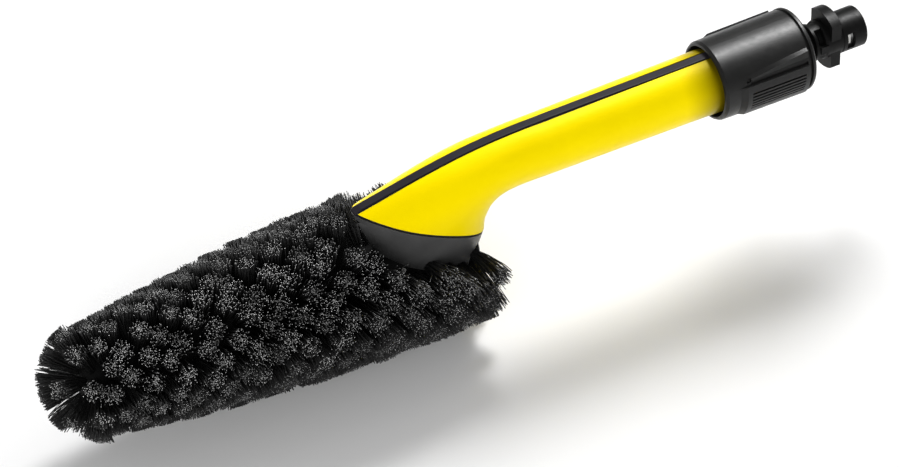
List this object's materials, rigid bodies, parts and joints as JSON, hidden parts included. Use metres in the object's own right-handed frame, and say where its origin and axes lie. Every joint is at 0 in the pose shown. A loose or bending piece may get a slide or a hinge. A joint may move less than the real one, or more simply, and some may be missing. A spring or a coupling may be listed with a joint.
{
  "type": "wheel brush",
  "caption": "Water-fed wheel brush: all-round bristle head set off a goose-necked hand tube by a tapered collar, with a gripped union nut and a bayonet inlet.",
  "frame": {"origin": "centre of the free end of the bayonet stem", "axes": "+X along the handle tube and out of the bayonet's free end, away from the brush; +Z towards the side with the inlaid strip; the handle's seam lies in the plane Y = 0"},
  "size_m": [0.425, 0.0804, 0.0998],
  "materials": {
    "yellow_plastic": "satin-gloss injection moulded",
    "strip_plastic": "satin dark grey",
    "charcoal_plastic": "fine moulded texture",
    "collar_plastic": "smooth moulded, dark grey",
    "black_plastic": "satin",
    "light_plastic": "smooth",
    "tube_plastic": "smooth",
    "rubber": "matt",
    "steel": "plain",
    "bristle": "black nylon filament with pale cut ends"
  },
  "bodies": {
    "handle": {"handle_shell_left": "yellow_plastic", "handle_shell_right": "yellow_plastic", "top_seam_strip": "strip_plastic", "handle_screws": "steel", "water_tube": "tube_plastic", "tube_front_seal": "rubber", "tube_rear_seal": "rubber", "threaded_spigot": "black_plastic", "bayonet_connector": "black_plastic", "connector_seal": "rubber", "inlet_insert": "light_plastic", "inlet_filter": "steel", "neck_collar": "collar_plastic", "collar_gasket": "rubber", "collar_screws": "steel", "brush_core": "black_plastic", "core_plug": "black_plastic", "core_screw": "steel", "spray_jets": "light_plastic", "tuft_anchors": "steel", "bristle_tip": "bristle", "bristle_rows_01": "bristle", "bristle_rows_02": "bristle", "bristle_rows_03": "bristle", "bristle_rows_04": "bristle", "bristle_rows_05": "bristle", "bristle_rows_06": "bristle", "bristle_rows_07": "bristle", "bristle_rows_08": "bristle", "bristle_rows_09": "bristle", "bristle_rows_10": "bristle", "bristle_rows_11": "bristle", "bristle_rows_12": "bristle"},
    "nut_slide": {"slip_ring": "tube_plastic"},
    "nut": {"union_nut": "charcoal_plastic"}
  },
  "joints": [
    {"name": "nut_advance", "type": "slide", "parent": "handle", "child": "nut_slide", "axis": [1, 0, 0], "range_m": [0, 0.00601]},
    {"name": "nut_turn", "type": "hinge", "parent": "nut_slide", "child": "nut", "pos_m": [-0.06, 0, 0], "axis": [1, 0, 0], "range_deg": [0, 540]}
  ],
  "couplings": [
    {"joint": "nut_advance", "follows": "nut_turn", "m_per_rad": 0.00063662}
  ]
}
